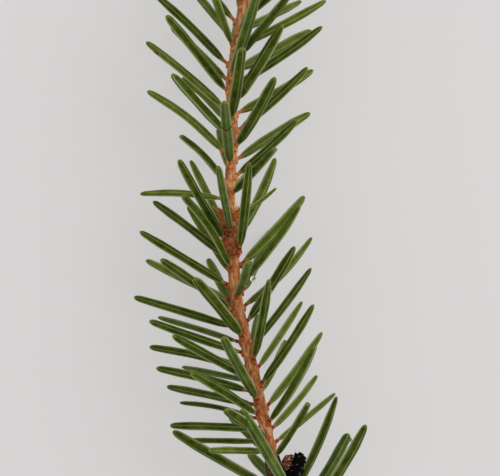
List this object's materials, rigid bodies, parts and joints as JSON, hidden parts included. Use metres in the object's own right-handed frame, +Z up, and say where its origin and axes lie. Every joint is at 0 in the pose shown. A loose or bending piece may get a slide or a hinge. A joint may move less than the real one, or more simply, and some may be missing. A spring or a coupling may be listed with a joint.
{
  "type": "black spruce twig",
  "caption": "Cut black spruce twig lying down: a curved downy brown stem ringed with short blunt needles, with a cup of old bud scales, egg-shaped end buds and a foot of older bark.",
  "frame": {"origin": "on the ground under the middle of the twig's box", "axes": "+Y from the cut towards the tip, +Z up from the ground on which the lower needles rest, +X to the right as seen from above"},
  "size_m": [0.0294, 0.0838, 0.0213],
  "materials": {
    "needled_old_wood": "matt grey-brown bark with a few green needles",
    "needled_shoot": "satin green needles on a downy orange-brown stem",
    "needle": "satin waxy green with fine pale dots in rows",
    "shoot_bark": "matt orange-brown, grooved and downy",
    "old_bark": "matt dark grey-brown, cracked",
    "cut_wood": "matt pale cream",
    "bud_scales": "dry papery red-brown",
    "bud": "satin red-brown scales",
    "dead_bud": "dry crumbly black"
  },
  "bodies": {
    "root": {"old_wood": "needled_old_wood", "second_year_shoot": "needled_shoot", "first_year_shoot": "needled_shoot", "bud_scale_cup": "bud_scales", "terminal_bud": "bud", "side_bud_left": "bud", "side_bud_right": "bud", "dead_side_bud": "dead_bud"}
  },
  "joints": []
}
